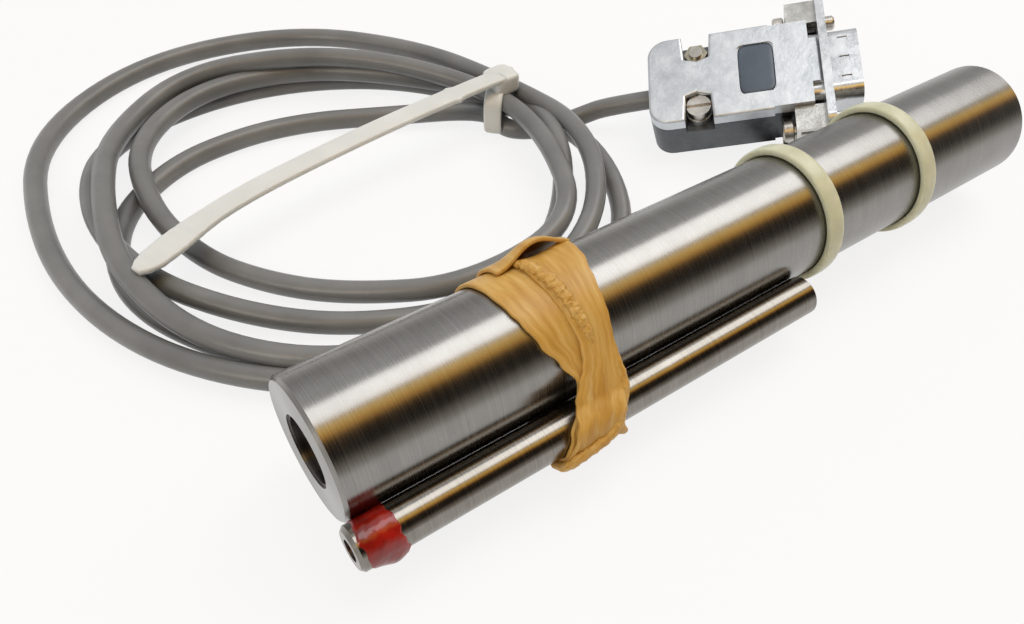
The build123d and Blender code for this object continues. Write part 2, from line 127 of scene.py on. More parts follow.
def ground_steel(name, light, dark, hoop, roughness):
    """Steel ground while it turns about X: noise that is squeezed along X by the width
    of a hoop, in metres, and drawn out round it. It shifts colour, gloss and height."""
    material, shader = new_material(name, Metallic=1.0, Roughness=roughness, Anisotropic=0.6,
                                    Anisotropic_Rotation=0.25)
    place = add(material, "TexCoord").outputs["Object"]
    squeezed = add(material, "Mapping", {"Scale": (1 / hoop, 45.0, 45.0)}, {"Vector": place})
    hoops = add(material, "TexNoise", {"Scale": 1.0, "Detail": 3.0, "Roughness": 0.6},
                {"Vector": squeezed.outputs["Vector"]})
    clouds = add(material, "TexNoise", {"Scale": 210.0, "Detail": 4.0, "Roughness": 0.65}, {"Vector": place})
    both = add(material, "Mix", {"data_type": "FLOAT", 0: 0.35},
               {2: hoops.outputs["Fac"], 3: clouds.outputs["Fac"]})
    tone = add(material, "ValToRGB", {"stops": [(0.33, dark), (0.67, light)]}, {"Fac": both.outputs[0]})
    gloss = add(material, "MapRange", {"From Min": 0.3, "From Max": 0.7, "To Min": roughness - 0.03,
                                       "To Max": roughness + 0.04}, {"Value": hoops.outputs["Fac"]})
    grain = add(material, "Bump", {"Strength": 0.07, "Distance": 0.00003}, {"Height": hoops.outputs["Fac"]})
    lay = add(material, "Tangent", {"direction_type": "RADIAL", "axis": "X"})
    join(material, tone.outputs["Color"], shader.inputs["Base Color"])
    join(material, gloss.outputs["Result"], shader.inputs["Roughness"])
    join(material, grain.outputs["Normal"], shader.inputs["Normal"])
    join(material, lay.outputs["Tangent"], shader.inputs["Tangent"])
    return material


ground_stainless = ground_steel("ground_stainless", "#989693", "#858380", 0.00022, 0.27)
dress(ground_stainless, "housing_tube", "rear_end_cap")
reamed_stainless = ground_steel("reamed_stainless", "#8f8a84", "#4b4743", 0.0006, 0.34)
dress(reamed_stainless, "bore_liner")

housing_low, housing_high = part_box("housing_tube")
front = housing_low[0]
axis_y = (housing_low[1] + housing_high[1]) / 2
axis_z = (housing_low[2] + housing_high[2]) / 2
housing_r = (housing_high[2] - housing_low[2]) / 2


# Coils inside
# Enamelled copper wire on a moulded bobbin, in a shield of soft magnetic sheet, with
# a laminate board for the joints. None of it shows while the housing is closed.

enamelled_copper, copper_shader = new_material("enamelled_copper", Metallic=0.8, Roughness=0.3)
winding_place = add(enamelled_copper, "TexCoord").outputs["Object"]
wire_turns = add(enamelled_copper, "TexWave", {"Scale": 1200.0, "bands_direction": "X", "Distortion": 0.4},
                 {"Vector": winding_place})
wire_tone = add(enamelled_copper, "ValToRGB", {"stops": [(0.0, "#5b2413"), (1.0, "#b4663a")]},
                {"Fac": wire_turns.outputs["Fac"]})
join(enamelled_copper, wire_tone.outputs["Color"], copper_shader.inputs["Base Color"])
dress(enamelled_copper, "primary_winding", "secondary_winding_front", "secondary_winding_rear")


def moulded(name, light, dark, roughness, grain_size, **sockets):
    """A moulded plastic or rubber skin: soft clouds of colour, and a fine bump whose
    grain has a real size in metres."""
    material, shader = new_material(name, Roughness=roughness, **sockets)
    place = add(material, "TexCoord").outputs["Object"]
    clouds = add(material, "TexNoise", {"Scale": 0.12 / grain_size, "Detail": 4.0}, {"Vector": place})
    tone = add(material, "ValToRGB", {"stops": [(0.3, dark), (0.7, light)]}, {"Fac": clouds.outputs["Fac"]})
    grain = add(material, "TexNoise", {"Scale": 1 / grain_size, "Detail": 3.0}, {"Vector": place})
    skin = add(material, "Bump", {"Strength": 0.18, "Distance": grain_size / 5},
               {"Height": grain.outputs["Fac"]})
    join(material, tone.outputs["Color"], shader.inputs["Base Color"])
    join(material, skin.outputs["Normal"], shader.inputs["Normal"])
    return material


dress(moulded("bobbin_polyester", "#d9d2b4", "#c9c09c", 0.5, 0.0004), "coil_bobbin")
dress(moulded("green_laminate", "#2f6a3c", "#24532f", 0.4, 0.0003), "terminal_board")
dress(moulded("red_wire_sleeve", "#a52a22", "#86201a", 0.4, 0.0003), "winding_leads")
dress(ground_steel("annealed_shield", "#a09d98", "#8a8782", 0.001, 0.4), "magnetic_shield")


# Core rod
# A rod of soft magnetic steel that slides in the bore in use, ground finer than the
# housing. One end is brushed with red marking lacquer, which ran into a bead below.

core_steel = ground_steel("core_steel", "#938f89", "#7c7770", 0.0002, 0.24)
dress(core_steel, "core_rod")

core_low, core_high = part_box("core_rod")
core_front = core_low[0]
core_y = (core_low[1] + core_high[1]) / 2
core_z = (core_low[2] + core_high[2]) / 2
core_r = (core_high[2] - core_low[2]) / 2


def grid_piece(name, points, material, round_u=False, round_v=False, thickness=0.0, levels=0, caps=False):
    """A piece from a grid of points: neighbours join in fours, the ends of a direction
    join when it goes round, and caps close the two ends of a tube. It rides on the
    sensor. Its UV map runs along both directions of the grid."""
    rows, columns = points.shape[:2]
    number = np.arange(rows * columns).reshape(rows, columns)
    if round_u:
        number = np.vstack([number, number[:1]])
    if round_v:
        number = np.hstack([number, number[:, :1]])
    quads = np.stack([number[:-1, :-1], number[1:, :-1], number[1:, 1:], number[:-1, 1:]], axis=-1)
    faces = quads.reshape(-1, 4).tolist()
    if caps:
        faces += [number[0, :columns].tolist(), number[rows - 1, :columns][::-1].tolist()]
    mesh = bpy.data.meshes.new(name)
    mesh.from_pydata(points.reshape(-1, 3).tolist(), [], faces)
    u = np.repeat(np.linspace(0, 1, number.shape[0]), number.shape[1]).reshape(number.shape)
    v = np.tile(np.linspace(0, 1, number.shape[1]), number.shape[0]).reshape(number.shape)
    corners = [np.stack([part[:-1, :-1], part[1:, :-1], part[1:, 1:], part[:-1, 1:]], axis=-1).reshape(-1)
               for part in (u, v)]
    flat = np.zeros((len(mesh.loops), 2), dtype=np.float32)
    flat[:len(corners[0])] = np.stack(corners, axis=-1)
    mesh.uv_layers.new(name="UVMap").data.foreach_set("uv", flat.reshape(-1))
    mesh.shade_smooth()
    mesh.materials.append(material)
    piece = bpy.data.objects.new(name, mesh)
    bpy.context.scene.collection.objects.link(piece)
    if thickness:
        wall = piece.modifiers.new("thickness", "SOLIDIFY")
        wall.thickness = thickness
        wall.offset = 1.0
    if levels:
        smooth = piece.modifiers.new("smooth", "SUBSURF")
        smooth.levels = levels
        smooth.render_levels = levels
    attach(piece, "sensor")
    return piece


def hill(way, middle, width):
    """A smooth hill of height 1: cos squared, that ends a width from its middle."""
    return np.cos(np.clip((way - middle) / width, -1, 1) * pi / 2) ** 2


def ripple(chance, *waves):
    """A sum of sines of the given phases, each with a random shift, the later ones
    weaker: its size is about one."""
    return sum(np.sin(wave + chance.uniform(0, 2 * pi)) / order for order, wave in enumerate(waves, 1))


red_lacquer = moulded("red_lacquer", "#a31d13", "#430b08", 0.2, 0.0006, Specular_IOR_Level=0.6)
# The coat in millimetres: lengths from the core's end, thicknesses from its skin.
lacquer_edge, lacquer_coat, lacquer_streak, lacquer_sunk = 0.3, 0.13, 0.025, 0.03
bead_height, bead_middle, bead_reach = 1.4, 4.6, 3.7
bead_turn, bead_spread = 1.5 * pi - 0.25, 1.35
lacquer_x = np.linspace(0.6, 7.8, 130)[:, None]
lacquer_turn = np.linspace(0, 2 * pi, 220, endpoint=False)[None, :]
brush = np.random.default_rng(3)
lacquer_start = 1.0 + 0.22 * ripple(brush, 2 * lacquer_turn, 5 * lacquer_turn, 9 * lacquer_turn)
lacquer_end = 6.2 + 0.32 * ripple(brush, lacquer_turn, 4 * lacquer_turn, 11 * lacquer_turn)
brushed = np.clip((lacquer_x - lacquer_start) / lacquer_edge, 0, 1) * np.clip(
    (lacquer_end - lacquer_x) / lacquer_edge, 0, 1)
streaks = ripple(brush, 2 * lacquer_x + 2 * lacquer_turn, 3 * lacquer_x - 5 * lacquer_turn, 8 * lacquer_turn,
                 5 * lacquer_x + 11 * lacquer_turn)
bead = bead_height * hill(lacquer_turn, bead_turn, bead_spread) * hill(lacquer_x, bead_middle, bead_reach)
film = core_r + (brushed * (lacquer_coat + lacquer_streak * streaks + bead) - lacquer_sunk) / 1000
lacquer_grid = np.stack([core_front + lacquer_x / 1000 + 0 * film, core_y + film * np.cos(lacquer_turn),
                         core_z + film * np.sin(lacquer_turn)], axis=-1)
grid_piece("lacquer_film", lacquer_grid, red_lacquer, round_v=True, caps=True)


# Rubber rings
# Two flat rings of undyed silicone rubber, stretched over the housing, each with a foot
# below. Light goes a little way into them, so they look pale green and waxy.

undyed_silicone = moulded("undyed_silicone", "#d3d6c0", "#bfc3a8", 0.28, 0.0004,
                          Subsurface_Weight=0.3, Subsurface_Scale=0.0015, Subsurface_Radius=(1.0, 0.9, 0.5))
ring_width, ring_thickness, ring_foot, ring_shift, ring_fit = 0.0033, 0.0013, 0.0037, 0.0011, 0.00002
foot_turn, foot_spread, floor_clearance = -pi / 2 + 0.12, 0.34, 0.0001
ring_turn = np.linspace(-pi, pi, 260, endpoint=False)[:, None]
ring_profile = np.linspace(0, 2 * pi, 28, endpoint=False)[None, :]


def softened(value, power=0.35):
    """A sine or cosine pushed towards a square wave: its size to a power, sign kept."""
    return np.sign(value) * np.abs(value) ** power


for place, name in (("rubber_ring_front", "ring_front"), ("rubber_ring_rear", "ring_rear")):
    ring_low, ring_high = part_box(place)
    thickness = ring_thickness + (ring_foot - ring_thickness) * hill(ring_turn, foot_turn, foot_spread)
    ring_r = housing_r + ring_fit + thickness * (0.5 + 0.5 * softened(np.sin(ring_profile), 0.6))
    ring_middle = (ring_low[0] + ring_high[0]) / 2 + ring_shift
    ring_x = ring_middle + ring_width / 2 * softened(np.cos(ring_profile), 0.5)
    ring_grid = np.stack([ring_x + 0 * ring_r, axis_y + ring_r * np.cos(ring_turn),
                          np.maximum(axis_z + ring_r * np.sin(ring_turn), floor_clearance)], axis=-1)
    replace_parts(grid_piece(name, ring_grid, undyed_silicone, round_u=True, round_v=True), place)


# Rubber band
# A wide latex band, wound double round the housing and the core rod, that holds the
# rod. It narrows towards the rod. Its upper layer has rolled its own edge into a
# crumpled seam and stands off the housing at the top.

latex_thickness, latex_fit, lower_height, upper_height = 0.0006, 0.00006, 0.00002, 0.0008
belt_stations = 420


def belt_line(gap, count):
    """The closed line, in Y and Z, of a belt at a gap outside housing and rod: an arc
    about the housing, a tangent, an arc about the rod and a tangent, at equal steps.
    It starts where the lower tangent meets the housing and goes up the far side.
    Returns points and outward normals."""
    big, small = housing_r + gap, core_r + gap
    reach = np.hypot(core_y - axis_y, core_z - axis_z)
    slope = np.arctan2(core_z - axis_z, core_y - axis_y)
    lean = np.arccos((big - small) / reach)
    round_housing = np.linspace(slope + lean, slope - lean + 2 * pi, 400)
    round_core = np.linspace(slope - lean, slope + lean, 100)
    corners = np.stack([
        np.concatenate([axis_y + big * np.cos(round_housing), core_y + small * np.cos(round_core)]),
        np.concatenate([axis_z + big * np.sin(round_housing), core_z + small * np.sin(round_core)]),
    ], axis=1)
    closed = np.vstack([corners, corners[:1]])
    run = np.concatenate([[0], np.cumsum(np.hypot(*np.diff(closed, axis=0).T))])
    steps = np.linspace(0, run[-1], count, endpoint=False)
    points = np.stack([np.interp(steps, run, closed[:, 0]), np.interp(steps, run, closed[:, 1])], axis=1)
    heading = np.roll(points, -1, axis=0) - np.roll(points, 1, axis=0)
    heading /= np.linalg.norm(heading, axis=1)[:, None]
    return points, np.stack([heading[:, 1], -heading[:, 0]], axis=1)


latex, latex_shader = new_material("latex", Roughness=0.42, Subsurface_Weight=0.12, Subsurface_Scale=0.0012,
                                   Subsurface_Radius=(1.0, 0.5, 0.2), Specular_IOR_Level=0.4)
latex_uv = add(latex, "UVMap").outputs["UV"]
latex_drawn = add(latex, "Mapping", {"Scale": (5.0, 4.0, 1.0)}, {"Vector": latex_uv})
latex_streaks = add(latex, "TexNoise", {"Scale": 1.6, "Detail": 5.0, "Roughness": 0.6},
                    {"Vector": latex_drawn.outputs["Vector"]})
latex_tone = add(latex, "ValToRGB", {"stops": [(0.25, "#ad7e2f"), (0.5, "#c69d50"), (0.78, "#d9bb7b")]},
                 {"Fac": latex_streaks.outputs["Fac"]})
latex_place = add(latex, "TexCoord").outputs["Object"]
latex_pores = add(latex, "TexNoise", {"Scale": 2600.0, "Detail": 3.0}, {"Vector": latex_place})
latex_height = add(latex, "Mix", {"data_type": "FLOAT", 0: 0.3},
                   {2: latex_streaks.outputs["Fac"], 3: latex_pores.outputs["Fac"]})
latex_skin = add(latex, "Bump", {"Strength": 0.05, "Distance": 0.0001}, {"Height": latex_height.outputs[0]})
join(latex, latex_tone.outputs["Color"], latex_shader.inputs["Base Color"])
join(latex, latex_skin.outputs["Normal"], latex_shader.inputs["Normal"])


def blended(way, *pairs):
    """Values along a way from (place, value) pairs: a smooth step, 3k^2 - 2k^3, leads
    from each to the next."""
    places, values = np.array(pairs).T
    place = np.clip(np.searchsorted(places, way, side="right") - 1, 0, len(places) - 2)
    k = np.clip((way - places[place]) / (places[place + 1] - places[place]), 0, 1)
    return values[place] + (values[place + 1] - values[place]) * k * k * (3 - 2 * k)


belt_track, belt_normals = belt_line(latex_fit, belt_stations)


def on_belt(way, x, off):
    """Points at parts of the way round the belt: X in millimetres from the housing's
    front face, and a height off the steel along the belt's outward normal."""
    place = [np.interp(way * belt_stations, np.arange(belt_stations), values, period=belt_stations)
             for values in (*belt_track.T, *belt_normals.T)]
    y, z, out_y, out_z = np.broadcast_arrays(*place, x)[:4]
    height_z = np.maximum(z + out_z * off, floor_clearance)
    return np.stack([front + x / 1000 + 0 * y, y + out_y * off, height_z], axis=-1)


def belt_sheet(name, way, left, right, lift, closed, columns=40):
    """A layer of the band between two edges given in X, in millimetres, along the way.
    Lift says how far each point stands off, from the way and the place across."""
    across = np.linspace(0, 1, columns)[None, :]
    x = left[:, None] + (right - left)[:, None] * across
    way_grid = np.broadcast_to(way[:, None], x.shape)
    sheet = on_belt(way_grid, x, lift(way_grid, across))
    return grid_piece(name, sheet, latex, round_u=closed, thickness=latex_thickness, levels=1)


def lower_lift(way, across):
    """Close to the steel, with shallow folds where the band narrows towards the rod."""
    folds = hill(way, 0.72, 0.14) * (0.5 + 0.5 * np.sin(across * 15 + way * 30)) * 0.0004
    return lower_height + folds + hill(across, 1.0, 0.3) * 0.0001


def upper_lift(way, across):
    """Over the lower layer. It dips beside the seam, rises before the rod's far side and
    is gathered there, and its end stands off at the top as a roof over its start."""
    dip = hill(way, 0.53, 0.11) * hill(across, 0.0, 0.22) * 0.0006
    gathers = hill(way, 0.72, 0.10) * (0.5 + 0.5 * np.sin(across * 17 - way * 20)) * 0.0004
    pocket = hill(way, 0.745, 0.04) * 0.0010 - hill(way, 0.79, 0.03) * 0.0004
    roof = hill(way, 1.415, 0.07) * hill(across, 0.55, 0.52) * 0.0022
    tuck = hill(way, 0.403, 0.035) * hill(across, 0.45, 0.5) * 0.0005
    return upper_height - dip + gathers + pocket + roof - tuck


lower_way = np.linspace(0, 1, belt_stations, endpoint=False)
lower_left = blended(lower_way, (0, 30.0), (0.10, 29.0), (0.25, 28.0), (0.40, 27.9), (0.455, 28.1),
                     (0.505, 28.6), (0.53, 29.1), (0.58, 30.1), (0.625, 31.8), (0.665, 33.2), (0.71, 32.0),
                     (0.755, 29.8), (0.79, 28.8), (0.84, 28.6), (1.0, 30.0))
lower_right = blended(lower_way, (0, 36.0), (0.25, 38.0), (0.40, 37.5), (0.60, 37.5), (0.70, 36.5),
                      (1.0, 36.0))
lower_layer = belt_sheet("latex_lower_layer", lower_way, lower_left, lower_right, lower_lift, True)
upper_way = np.linspace(0.403, 1.418, 430)
upper_left = blended(upper_way, (0.403, 34.4), (0.47, 34.4), (0.51, 34.8), (0.555, 35.1), (0.60, 35.3),
                     (0.63, 34.9), (0.65, 34.3), (0.67, 33.1), (0.70, 31.7), (0.73, 30.7), (0.75, 29.8),
                     (0.775, 29.2), (0.80, 28.7), (0.90, 29.5), (1.10, 33.0), (1.25, 32.5), (1.38, 31.4),
                     (1.418, 31.2))
upper_right = blended(upper_way, (0.403, 43.4), (0.43, 43.2), (0.465, 42.8), (0.505, 41.8), (0.54, 41.2),
                      (0.57, 40.9), (0.60, 40.5), (0.64, 40.0), (0.68, 39.5), (0.71, 39.2), (0.735, 38.3),
                      (0.757, 37.2), (0.80, 36.4), (0.90, 37.0), (1.10, 41.5), (1.25, 43.6), (1.418, 43.5))
belt_sheet("latex_upper_layer", upper_way, upper_left, upper_right, upper_lift, False)
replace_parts(lower_layer, "rubber_band")


def belt_roll(name, path, crumple, flat, seed, stations=260):
    """A rolled strand of the band. Its path is (way, X in mm, height and radius in mm)
    points; its radius is crumpled by sums of sines with seeded phases."""
    path = np.array(path)
    knots = np.arange(len(path))
    fine = np.linspace(0, len(path) - 1, stations)
    way, x, off, radius = (np.interp(fine, knots, values) for values in path.T)
    kernel = np.hanning(25) / np.hanning(25).sum()
    margin = len(kernel) // 2
    padded = [np.pad(values, margin, mode="reflect", reflect_type="odd") for values in (way, x, off, radius)]
    way, x, off, radius = (np.convolve(values, kernel, "valid") for values in padded)
    line = on_belt(way, x, off / 1000)
    out = on_belt(way, x, off / 1000 + 0.001) - line
    out /= np.linalg.norm(out, axis=1)[:, None]
    heading = np.gradient(line, axis=0)
    heading /= np.linalg.norm(heading, axis=1)[:, None]
    side = np.cross(heading, out)
    run = np.concatenate([[0], np.cumsum(np.linalg.norm(np.diff(line, axis=0), axis=1))])[:, None] * 1000
    turn = np.linspace(0, 2 * pi, 20, endpoint=False)
    chance = np.random.default_rng(seed)
    crumpled = ripple(chance, *[run * rate + turn * twist for rate, twist in
                                ((3.7, 1), (6.1, -3), (9.7, 2), (13.3, -4), (17.9, 3))])
    size = radius[:, None] / 1000 * (1 + crumple * crumpled)
    roll = line[:, None] + side[:, None] * (size * np.cos(turn))[..., None] + out[:, None] * (
        size * flat * np.sin(turn))[..., None]
    return grid_piece(name, roll, latex, round_v=True, levels=1, caps=True)


belt_roll("latex_rolled_seam", ((0.405, 34.8, 1.0, 0.6), (0.43, 35.1, 1.3, 0.9), (0.47, 35.7, 1.4, 0.95),
                                (0.51, 36.2, 1.4, 0.95), (0.555, 36.5, 1.3, 0.9), (0.60, 36.9, 1.2, 0.6),
                                (0.635, 37.1, 0.9, 0.15)), 0.13, 0.7, 5)
belt_roll("latex_rolled_edge", ((0.60, 40.2, 1.0, 0.25), (0.655, 39.7, 1.2, 0.6), (0.69, 39.6, 1.4, 0.75),
                                (0.715, 39.3, 1.5, 0.8), (0.735, 38.4, 1.5, 0.8), (0.757, 37.3, 1.6, 0.85),
                                (0.768, 36.2, 1.7, 0.9), (0.776, 34.6, 1.7, 0.95), (0.780, 32.8, 1.7, 0.95),
                                (0.784, 31.0, 1.6, 1.0), (0.790, 29.5, 1.5, 1.0), (0.803, 28.5, 1.3, 0.9),
                                (0.835, 28.4, 1.0, 0.8), (0.89, 29.0, 0.9, 0.8)), 0.06, 0.75, 11)
belt_roll("latex_fold_end", ((0.765, 36.6, 0.6, 1.0), (0.785, 37.4, 0.9, 0.9), (0.797, 38.3, 1.1, 0.6),
                             (0.803, 38.9, 1.2, 0.25)), 0.05, 0.7, 17)


# Cable
# A round PVC cable, 3.8 mm thick, that leaves low on the housing's far side. It runs
# along the housing, goes five times round in loose turns and ends in the plug.

cable_thickness = 0.0038
cable_points = [
    (0.06180, 0.00864, 0.00965), (0.06180, 0.01544, 0.00490), (0.05910, 0.02084, 0.00250),
    (0.05400, 0.02434, 0.00195), (0.04780, 0.02574, 0.00195), (0.04040, 0.02514, 0.00195),
    (0.03130, 0.02274, 0.00195), (0.01480, 0.01984, 0.00195), (-0.00120, 0.01664, 0.00195),
    (-0.01920, 0.01474, 0.00195), (-0.03520, 0.01524, 0.00195),
]
# Distance from the coil's middle and height, in millimetres, at places 30 degrees
# apart, going clockwise seen from above. The first turn is short, and all but the
# first end where the tie holds them.
coil_middle = (-0.0382, 0.062838)
coil_turns = (
    ((47.9, 3.4), (44.5, 2.8), (43.8, 2.1), (47.0, 1.95), (57.5, 1.95), (61.9, 1.95),
     (59.4, 2.4), (50.0, 4.6), (45.1, 6.5)),
    ((49.4, 8.8), (49.7, 6.5), (45.1, 4.9), (44.8, 5.0), (41.3, 5.0), (37.7, 7.2),
     (35.3, 8.4), (41.1, 5.4), (45.1, 6.3), (38.1, 8.8), (36.3, 8.8), (41.3, 6.5)),
    ((41.0, 8.8), (46.0, 7.3), (37.3, 4.9), (27.1, 2.6), (23.9, 1.95), (25.2, 2.5),
     (29.0, 4.6), (36.2, 5.3), (40.1, 5.1), (39.0, 4.8), (35.7, 6.4), (47.0, 3.15)),
    ((44.3, 8.8), (43.0, 2.7), (40.0, 1.95), (33.9, 1.95), (31.9, 2.5), (35.1, 4.7),
     (38.5, 5.2), (44.1, 2.4), (41.1, 1.95), (39.6, 1.95), (41.2, 1.95), (43.2, 3.15)),
    ((51.6, 6.0), (56.2, 2.5), (43.6, 1.95), (43.4, 1.95), (39.4, 1.95), (38.5, 1.95),
     (35.0, 1.95), (29.6, 1.95), (25.1, 1.95), (24.0, 1.95), (26.0, 2.3), (39.4, 3.15)),
)
coil_angle = 250.0
cut_inside = (3 + cos(radians(30))) / 4
for turn in coil_turns:
    for distance, height in turn:
        reach = distance / cut_inside / 1000
        cable_points.append((coil_middle[0] + reach * cos(radians(coil_angle)),
                             coil_middle[1] + reach * sin(radians(coil_angle)), height / 1000))
        coil_angle -= 30.0
cable_points += [
    (0.00170, 0.06384, 0.00195), (0.00540, 0.06024, 0.00195), (0.01120, 0.05844, 0.00200),
    (0.01680, 0.05744, 0.00300), (0.02232, 0.05489, 0.00512), (0.03302, 0.04515, 0.00910),
]

grey_pvc = moulded("grey_pvc", "#7d8083", "#6c6f72", 0.32, 0.0012, Specular_IOR_Level=0.5)

cable_line = bpy.data.curves.new("cable", "CURVE")
cable_line.dimensions = "3D"
spline = cable_line.splines.new("NURBS")
spline.points.add(len(cable_points) - 1)
spline.points.foreach_set("co", np.column_stack([cable_points, np.ones(len(cable_points))]).ravel())
spline.order_u = 3
spline.use_endpoint_u = True
spline.resolution_u = 10
cable_line.bevel_depth = cable_thickness / 2
cable_line.bevel_resolution = 6
cable_line.use_fill_caps = True
cable_line.materials.append(grey_pvc)
cable = bpy.data.objects.new("cable", cable_line)
bpy.context.scene.collection.objects.link(cable)
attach(cable, "sensor")
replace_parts(cable, "cable_coil", "cable_exit_run", "cable_plug_lead")
dress(moulded("black_rubber", "#1d1d1f", "#141416", 0.5, 0.0004), "cable_grommet")


# Cable tie
# Natural nylon, moulded in one piece: a ribbed strap that is pulled through its own
# head round the five turns. Its long tail lies back flat across the coil.

natural_nylon = moulded("natural_nylon", "#dfe4e6", "#d1d7d9", 0.34, 0.0015,
                        Subsurface_Weight=0.4, Subsurface_Scale=0.0015, Subsurface_Radius=(1.0, 0.95, 0.9))
tie_angle = radians(45)
tie_reach, tie_along = 0.0425437, 0.0060
tie_middle = (coil_middle[0] + tie_reach, coil_middle[1] + tie_along)
strap_thickness, loop_width = 0.0012, 0.0036


def strap(name, line, side, width, thickness, closed=False):
    """A strap along a line of points: at each point the section is spanned by the side
    direction and by its cross product with the line's heading. It is a circle pushed
    towards a square. Widths and thicknesses may differ from point to point."""
    heading = np.roll(line, -1, axis=0) - np.roll(line, 1, axis=0) if closed else np.gradient(line, axis=0)
    heading /= np.linalg.norm(heading, axis=1)[:, None]
    side = side - heading * np.sum(side * heading, axis=1)[:, None]
    side /= np.linalg.norm(side, axis=1)[:, None]
    up = np.cross(side, heading)
    turn = np.linspace(0, 2 * pi, 16, endpoint=False)
    across, through = softened(np.cos(turn)) / 2, softened(np.sin(turn), 0.5) / 2
    wide = np.broadcast_to(width, len(line))[:, None] * across
    thick = np.broadcast_to(thickness, len(line))[:, None] * through
    points = line[:, None] + side[:, None] * wide[..., None] + up[:, None] * thick[..., None]
    return grid_piece(name, points[:, ::-1], natural_nylon, round_u=closed, round_v=True, caps=not closed)


loop_half, loop_low, loop_high = 0.0071, 0.0006, 0.0096
loop_turn = np.linspace(0, 2 * pi, 120, endpoint=False)
loop_out = softened(np.cos(loop_turn), 0.55) * loop_half
loop_up = (loop_low + loop_high) / 2 + softened(np.sin(loop_turn), 0.55) * (loop_high - loop_low) / 2
loop_line = np.stack([tie_middle[0] + loop_out * cos(tie_angle), tie_middle[1] + loop_out * sin(tie_angle),
                      loop_up], axis=1)
turns_direction = np.tile((-sin(tie_angle), cos(tie_angle), 0.0), (len(loop_line), 1))
tie_loop = strap("tie_loop", loop_line, turns_direction, loop_width, strap_thickness, closed=True)
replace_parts(tie_loop, "cable_tie")

tail_points = np.array([
    (0.0030, 0.0664, 0.0119), (-0.0046, 0.0659, 0.0118), (-0.0116, 0.0655, 0.0115),
    (-0.0207, 0.0648, 0.0111), (-0.0296, 0.0639, 0.0108), (-0.0380, 0.0629, 0.0104),
    (-0.0462, 0.0617, 0.0100), (-0.0541, 0.0602, 0.0097), (-0.0601, 0.0584, 0.0095),
    (-0.0662, 0.0558, 0.0092), (-0.0717, 0.0536, 0.0089), (-0.0744, 0.0525, 0.0088),
])
point_way = np.concatenate([[0], np.cumsum(np.linalg.norm(np.diff(tail_points, axis=0), axis=1))])
point_way /= point_way[-1]
tail_way = np.linspace(0, 1, 160)
tail_line = np.stack([np.polyval(np.polyfit(point_way, values, 7), tail_way) for values in tail_points.T],
                     axis=1)
tail_heading = np.gradient(tail_line, axis=0)
tail_heading /= np.linalg.norm(tail_heading, axis=1)[:, None]
level = np.cross(tail_heading, (0, 0, 1.0))
tail_lean = radians(-2)
tail_side = level * cos(tail_lean) + np.cross(level, tail_heading) * sin(tail_lean)
tail_width = np.interp(tail_way, (0, 0.13, 0.145, 0.155, 0.80, 0.84, 0.90, 0.96, 0.985, 1.0),
                       (0.0042, 0.0042, 0.0054, 0.0046, 0.0044, 0.0048, 0.0054, 0.0050, 0.0036, 0.0016))
tail_ribs = 0.00010 * np.sin(tail_way * 2 * pi * 40) * (tail_way > 0.84)
tie_tail = strap("tie_tail", tail_line, tail_side, tail_width, strap_thickness + tail_ribs)

head_place, head_half, head_angle = (0.0036, 0.0671, 0.0105), (0.0031, 0.0029, 0.0020), radians(5)
head_u = np.linspace(0, 2 * pi, 40, endpoint=False)
head_v = np.linspace(-pi / 2 + 0.02, pi / 2 - 0.02, 24)
head_ring = softened(np.cos(head_v))[:, None]
head_x = head_half[0] * head_ring * softened(np.cos(head_u), 0.45)
head_y = head_half[1] * head_ring * softened(np.sin(head_u), 0.45)
head_z = head_place[2] + head_half[2] * softened(np.sin(head_v))[:, None] + 0 * head_x
head_points = np.stack([
    head_place[0] + head_x * cos(head_angle) - head_y * sin(head_angle),
    head_place[1] + head_x * sin(head_angle) + head_y * cos(head_angle),
    head_z,
], axis=-1)
tie_head = grid_piece("tie_head", head_points, natural_nylon, round_v=True, caps=True)


# Plug shells, insulator and pins
# A nine-way D plug: two tinned steel shells pressed together round a black nylon
# insulator, which carries nine turned brass pins with a flash of gold.


def plated(name, light, dark, roughness, grain_size, bump):
    """Plating over a cast or pressed surface: clouds in tone, and a bump with the grain
    of the metal beneath, whose size is given in metres."""
    material, shader = new_material(name, Metallic=1.0, Roughness=roughness)
    place = add(material, "TexCoord").outputs["Object"]
    clouds = add(material, "TexNoise", {"Scale": 0.25 / grain_size, "Detail": 5.0, "Roughness": 0.7},
                 {"Vector": place})
    tone = add(material, "ValToRGB", {"stops": [(0.3, dark), (0.7, light)]}, {"Fac": clouds.outputs["Fac"]})
    gloss = add(material, "MapRange", {"From Min": 0.3, "From Max": 0.7, "To Min": roughness - 0.06,
                                       "To Max": roughness + 0.1}, {"Value": clouds.outputs["Fac"]})
    grain = add(material, "TexNoise", {"Scale": 1 / grain_size, "Detail": 4.0, "Roughness": 0.6},
                {"Vector": place})
    skin = add(material, "Bump", {"Strength": bump, "Distance": grain_size / 6},
               {"Height": grain.outputs["Fac"]})
    join(material, tone.outputs["Color"], shader.inputs["Base Color"])
    join(material, gloss.outputs["Result"], shader.inputs["Roughness"])
    join(material, skin.outputs["Normal"], shader.inputs["Normal"])
    return material


dress(plated("tinned_steel", "#d6d8da", "#bcbec1", 0.26, 0.0009, 0.15), "plug_front_shell", "plug_rear_shell")
dress(moulded("black_nylon", "#18181a", "#101012", 0.45, 0.0004), "plug_insulator")
dress(plated("gold_flashed_brass", "#dcb65e", "#c79a44", 0.25, 0.0006, 0.1), "plug_pins")
